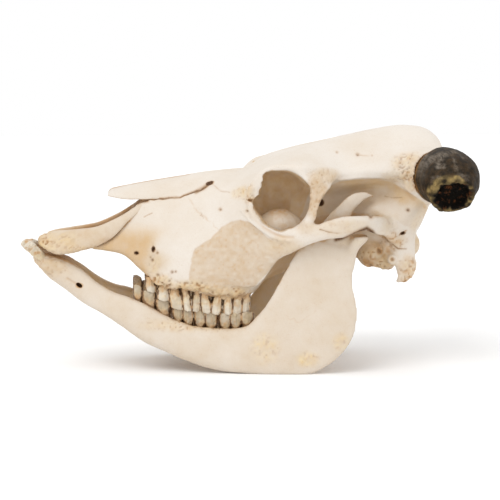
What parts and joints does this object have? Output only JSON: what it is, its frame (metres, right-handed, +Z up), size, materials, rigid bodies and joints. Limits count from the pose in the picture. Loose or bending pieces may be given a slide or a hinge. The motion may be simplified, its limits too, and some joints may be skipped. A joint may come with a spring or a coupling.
{
  "type": "cow skull with horns",
  "caption": "Adult cow skull with its lower jaw in place and short, tipped horns, resting on the lower edges of the jaw.",
  "frame": {"origin": "bottom centre of the bounding box, on the floor and on the middle plane of the skull", "axes": "+X from the muzzle to the poll, +Y to the animal's right, +Z up"},
  "size_m": [0.5224, 0.354, 0.2849],
  "materials": {
    "skull_bone": "dry, matt ivory bone, porous at the edges",
    "jaw_bone": "dense, matt beige bone with white enamel teeth",
    "horn": "dark brown horn with a dull gloss"
  },
  "bodies": {
    "root": {"cranium": "skull_bone", "maxilla_left": "skull_bone", "maxilla_right": "skull_bone", "nasal_left": "skull_bone", "nasal_right": "skull_bone", "premaxilla_left": "skull_bone", "premaxilla_right": "skull_bone", "mandible_left": "jaw_bone", "mandible_right": "jaw_bone", "horn_left": "horn", "horn_right": "horn"}
  },
  "joints": []
}
